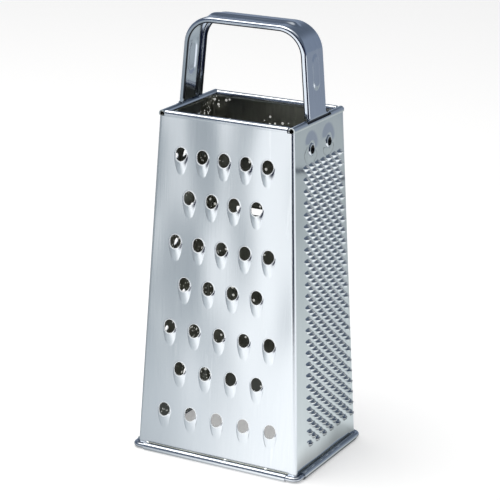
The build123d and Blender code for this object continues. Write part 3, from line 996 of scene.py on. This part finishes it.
def makeHandle():
    half = handlePath()
    dots = [half[0]]
    for dot in half[1:]:
        length = (dot - dots[-1]).length
        count = max(1, round(length / handle["stride"]))
        start = dots[-1]
        shares = steps(0, 1, count)[1:]
        if start.y > handle["shoulderLevel"] > dot.y:
            cut = (start.y - handle["shoulderLevel"]) / (start.y - dot.y)
            shares = sorted(shares + [cut, cut - handle["shoulderStep"]])
        dots.extend(start.lerp(dot, share) for share in shares)
    path = [Vector((-dot.x, dot.y)) for dot in reversed(dots[1:])] + dots
    outward = []
    for i in range(len(path)):
        run = (path[min(i + 1, len(path) - 1)] - path[max(i - 1, 0)]).normalized()
        outward.append(Vector((-run.y, run.x)))
    along = [0.0]
    for i in range(1, len(path)):
        along.append(along[-1] + (path[i] - path[i - 1]).length)
    centre = along[-1] / 2
    # Across the strap: the web, the rounded edge and the flange, as distance across and depth
    edge = handle["width"] / 2
    flat = edge - handle["edge"]
    flatColumns = handle["flatColumns"]
    section = [(across, 0) for across in steps(0, flat, flatColumns)]
    for angle in steps(0, 90, handle["edgeColumns"])[1:]:
        turn = math.radians(angle)
        section.append((flat + handle["edge"] * math.sin(turn), handle["edge"] * (1 - math.cos(turn))))
    section += [(edge, handle["flange"] - handle["cut"]), (edge, handle["flange"])]
    section = [(-across, depth) for across, depth in reversed(section[1:])] + section
    middle = len(section) // 2
    neckLevel = handle["neckLevel"] + handle["levelMargin"]
    shoulderLevel = handle["shoulderLevel"] + handle["levelMargin"]
    rows = []
    for spot, out, reach in zip(path, outward, along):
        row = []
        for across, depth in section:
            if spot.y > neckLevel:
                lift = ribRise(reach - centre, across, spot.y) if depth == 0 else 0
                place = spot + out * (lift - depth)
                row.append((place.x, across, place.y))
            else:
                row.append((spot.x, across, spot.y))
        rows.append(row)
    # Below the neck the flanges stop, and the web goes on as a wider tab
    for spot, row in zip(path, rows):
        if spot.y <= neckLevel:
            reach = handle["tabHalf"] if spot.y <= shoulderLevel else edge
            for side in (-1, 1):
                for index in range(flatColumns + 1, middle + 1):
                    share = (index - flatColumns) / (middle - flatColumns)
                    row[middle + side * index] = (spot.x, side * (flat + (reach - flat) * share), spot.y)
    points, faces = [], []
    ribbon(rows, faces, points)
    strap = makeObject("strap", points, [face[::-1] for face in faces])
    strap.data.materials.append(steel["handle"])
    strap.data.materials.append(steel["paintedStrapShade"])
    # Painted shade: the flange's cut faces and the strap's foot down in the slot are near black
    for index, face in enumerate(strap.data.polygons):
        column = index % (2 * middle)
        level = face.center.z / mm
        cutFace = column in (0, 2 * middle - 1) and level > handle["neckLevel"] + handle["cutFrom"]
        inSlot = handle["shoulderLevel"] - handle["shade"] < level < handle["shoulderLevel"]
        if cutFace or inSlot:
            face.material_index = 1
    thick = strap.modifiers.new("gauge", "SOLIDIFY")
    thick.thickness = handle["gauge"] * mm
    thick.offset = -1
    piece = plainCopy(strap, "handleStrap")
    bpy.data.objects.remove(strap)
    piece.data.shade_smooth()
    piece.data.set_sharp_from_angle(angle=math.radians(handle["sharpAngle"]))
    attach(piece, "root")
    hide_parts("handle")
    print("handle:", len(piece.data.polygons), "faces")


makeHandle()

# Carried-over nodes
for node, finish in (("base_wire", "wire"), ("right_rivets", "rivet"), ("left_rivets", "rivet")):
    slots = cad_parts[node].data.materials
    slots.clear()
    slots.append(steel[finish])

# Camera, fitted to the photo
view = {
    "place": (460.682, -864.895, 414.228),
    "azimuth": 28.046,
    "elevation": 17.468,
    "roll": 0.827,
    "lens": 144.28,
    "sensor": 36.0,
    "near": 10.0,
}


def addCamera():
    azimuth, elevation, roll = [math.radians(view[key]) for key in ("azimuth", "elevation", "roll")]
    back = Vector((
        math.sin(azimuth) * math.cos(elevation),
        -math.cos(azimuth) * math.cos(elevation),
        math.sin(elevation),
    ))
    level = Vector((math.cos(azimuth), math.sin(azimuth), 0))
    up = back.cross(level)
    right = level * math.cos(roll) + up * math.sin(roll)
    camera = bpy.data.objects.new("camera", bpy.data.cameras.new("camera"))
    camera.data.lens = view["lens"]
    camera.data.sensor_width = view["sensor"]
    camera.data.clip_start = view["near"] * mm
    camera.matrix_world = Matrix((right, back.cross(right), back)).transposed().to_4x4()
    camera.location = Vector(view["place"]) * mm
    bpy.context.scene.collection.objects.link(camera)
    bpy.context.scene.camera = camera


addCamera()

# Studio: a table in a darker room, seen so by the steel, and plain white by the camera.
# In the steel the table is grey at its left, white in front and blue-grey toward the back, and it ends
# toward the camera.
studio = {
    "tableColour": 0.86,
    "tableGlow": 0.345,
    "footGlow": 0.33,
    "floorSize": 20.0,
    "frontWay": 0.52,
    "frontEdge": (-0.050, 0.042),
    "frontDim": (0.74, 0.79, 0.82, 1),
    "frontFade": (-0.10, -0.34),
    "frontFar": (0.44, 0.49, 0.52, 1),
    "frontBright": (1.42, 1.44, 1.44, 1),
    "leftEdge": (-0.04, 0.10),
    "leftColour": (0.44, 0.475, 0.50, 1),
    "rearEdge": (-0.02, 0.10),
    "rearColour": (0.79, 0.85, 0.86, 1),
    "rearFade": (0.05, 0.50),
    "rearFar": (0.50, 0.55, 0.565, 1),
    "rightSlope": 0.9,
    "rightEdge": (0.02, 0.13),
    "rightColour": (1.30, 1.32, 1.34, 1),
    "edgeScale": 11.0,
    "edgeWave": 0.22,
    "lineEdge": (0.548, 0.552),
    "lineColour": (0.06, 0.07, 0.10, 1),
    "farEdge": (0.560, 0.568),
    "farColour": (0.50, 0.55, 0.57, 1),
    "dimEdge": (0.70, 0.90),
    "dimColour": (0.34, 0.385, 0.46, 1),
    "contactEdge": (-0.002, 0.022),
    "contactShade": 0.24,
    "contactFront": (-0.030, -0.045),
    "contactNarrow": 4.0,
    "cameraEdge": (0.30, 0.37),
    "cameraSide": (-0.30, -0.16),
    "cameraSpread": 1.2,
    "spreadEdge": (-0.02, 0.10),
    "darkWay": (0.47, -0.883, 0.0),
    "darkEdge": (0.60, 0.66),
    "darkColour": (0.010, 0.016, 0.045, 1),
    "lowColour": (0.78, 0.82, 0.87, 1),
    "roomColour": (0.15, 0.19, 0.27, 1),
    "upEdge": (0.34, 0.50),
    "upColour": (0.13, 0.16, 0.21, 1),
    "highEdge": (0.74, 0.98),
    "highColour": (1.0, 1.0, 1.0, 1),
    "backColour": (0.28, 0.33, 0.42, 1),
    "fill": 0.55,
}


def lightPath(tree, *kinds):
    # 1 for the rays of these kinds, and 0 for others
    node = tree.nodes.new("ShaderNodeLightPath")
    total = Field(tree, node.outputs[kinds[0]])
    for kind in kinds[1:]:
        total = total.math("MAXIMUM", Field(tree, node.outputs[kind]))
    return total


def addWorld():
    world = bpy.data.worlds.new("studio")
    bpy.context.scene.world = world
    world.use_nodes = True
    tree = world.node_tree
    way = newNode(tree, "ShaderNodeSeparateXYZ", Vector=tree.nodes.new("ShaderNodeTexCoord").outputs["Generated"])
    x, y, z = [Field(tree, way.outputs[i]) for i in range(3)]
    darkX, darkY, darkZ = studio["darkWay"]
    toDark = x * darkX + y * darkY
    dark = ramp(tree, toDark, *studio["darkEdge"])
    room = blend(tree, ramp(tree, z, -0.10, 0.04), studio["lowColour"], studio["roomColour"])
    behind = blend(tree, ramp(tree, y, 0.1, 0.7), room, studio["backColour"])
    shaded = blend(tree, dark, behind, studio["darkColour"])
    above = blend(tree, ramp(tree, z, *studio["upEdge"]), shaded, studio["upColour"])
    seen = blend(tree, ramp(tree, z, *studio["highEdge"]), above, studio["highColour"])
    glossy = lightPath(tree, "Is Glossy Ray", "Is Transmission Ray")
    camera = lightPath(tree, "Is Camera Ray")
    fill = studio["fill"]
    lit = blend(tree, glossy, (fill, fill, fill, 1), seen)
    colour = blend(tree, camera, lit, (1, 1, 1, 1))
    tree.links.new(colour, tree.nodes["Background"].inputs["Color"])


def addFloor():
    size = studio["floorSize"]
    mesh = bpy.data.meshes.new("floor")
    mesh.from_pydata([(-size, -size, 0), (size, -size, 0), (size, size, 0), (-size, size, 0)], [], [(0, 1, 2, 3)])
    floor = bpy.data.objects.new("floor", mesh)
    bpy.context.scene.collection.objects.link(floor)
    material = bpy.data.materials.new("paper")
    material.use_nodes = True
    tree = material.node_tree
    shader = tree.nodes["Principled BSDF"]
    colour = studio["tableColour"]
    shader.inputs["Base Color"].default_value = (colour, colour, colour, 1)
    shader.inputs["Roughness"].default_value = 0.9
    shader.inputs["Emission Color"].default_value = (1, 1, 1, 1)
    way = newNode(tree, "ShaderNodeSeparateXYZ", Vector=tree.nodes.new("ShaderNodeTexCoord").outputs["Object"])
    x, y = Field(tree, way.outputs[0]), Field(tree, way.outputs[1])
    # Painted light: the table seen through the open foot has its own glow, standing for light through the
    # grater's walls
    reachX = x.math("ABSOLUTE") - halfWidth(0) * mm
    reachY = y.math("ABSOLUTE") - halfDepth(0) * mm
    under = reachX.math("MAXIMUM", reachY).math("LESS_THAN", 0)
    glow = under * (studio["footGlow"] - studio["tableGlow"]) + studio["tableGlow"]
    tree.links.new(glow.socket, shader.inputs["Emission Strength"])
    cast = x - (y + halfDepth(0) * mm) * studio["frontWay"]
    dim = blend(tree, ramp(tree, y, *studio["frontFade"]), studio["frontDim"], studio["frontFar"])
    front = blend(tree, ramp(tree, cast, *studio["frontEdge"]), dim, studio["frontBright"])
    sided = blend(tree, ramp(tree, y - x, *studio["leftEdge"]), front, studio["leftColour"])
    fading = blend(tree, ramp(tree, y, *studio["rearFade"]), studio["rearColour"], studio["rearFar"])
    rear = blend(tree, ramp(tree, x + y, *studio["rearEdge"]), sided, fading)
    aside = ramp(tree, x - y * studio["rightSlope"], *studio["rightEdge"]) * ramp(tree, x, *studio["rightEdge"])
    white = blend(tree, aside, rear, studio["rightColour"])
    waves = newNode(tree, "ShaderNodeTexNoise", Scale=studio["edgeScale"], Detail=1.0)
    edge = y + (Field(tree, waves.outputs["Fac"]) - 0.5) * studio["edgeWave"]
    line = blend(tree, ramp(tree, edge, *studio["lineEdge"]), white, studio["lineColour"])
    grey = blend(tree, ramp(tree, edge, *studio["farEdge"]), line, studio["farColour"])
    far = blend(tree, ramp(tree, y, *studio["dimEdge"]), grey, studio["dimColour"])
    darkX, darkY, darkZ = studio["darkWay"]
    ahead = x * darkX + y * darkY
    across = y * darkX - x * darkY
    toward = ramp(tree, ahead, *studio["cameraEdge"])
    beside = ramp(tree, across, *studio["cameraSide"])
    beside = beside * ramp(tree, ahead * studio["cameraSpread"] - across, *studio["spreadEdge"])
    seen = blend(tree, toward * beside, far, studio["darkColour"])
    glossy = lightPath(tree, "Is Glossy Ray", "Is Transmission Ray")
    # Painted shadow: in the steel's reflections the table darkens near the grater's foot, over a narrower band in
    # front
    narrow = ramp(tree, y, *studio["contactFront"]) * studio["contactNarrow"] + 1
    clear = ramp(tree, reachX.math("MAXIMUM", reachY) * narrow, *studio["contactEdge"])
    strength = clear * (1 - studio["contactShade"]) + studio["contactShade"]
    mirrored = newNode(tree, "ShaderNodeEmission", Color=seen, Strength=strength)
    mix = newNode(tree, "ShaderNodeMixShader", Fac=glossy)
    tree.links.new(shader.outputs[0], mix.inputs[1])
    tree.links.new(mirrored.outputs[0], mix.inputs[2])
    tree.links.new(mix.outputs[0], tree.nodes["Material Output"].inputs["Surface"])
    floor.data.materials.append(material)


def addLamp(name, place, size, power, colour):
    lamp = bpy.data.lights.new(name, "AREA")
    lamp.shape = "RECTANGLE"
    lamp.size, lamp.size_y = size
    lamp.energy = power
    lamp.color = colour
    made = bpy.data.objects.new(name, lamp)
    made.location = place
    made.rotation_euler = (-Vector(place)).to_track_quat("-Z", "Y").to_euler()
    bpy.context.scene.collection.objects.link(made)


addWorld()
addFloor()
addLamp("overhead", (-0.35, -0.30, 1.30), (1.1, 0.9), 9.0, (1.0, 0.99, 0.97))
bpy.context.scene.view_settings.view_transform = "Standard"
print("studio: ready")
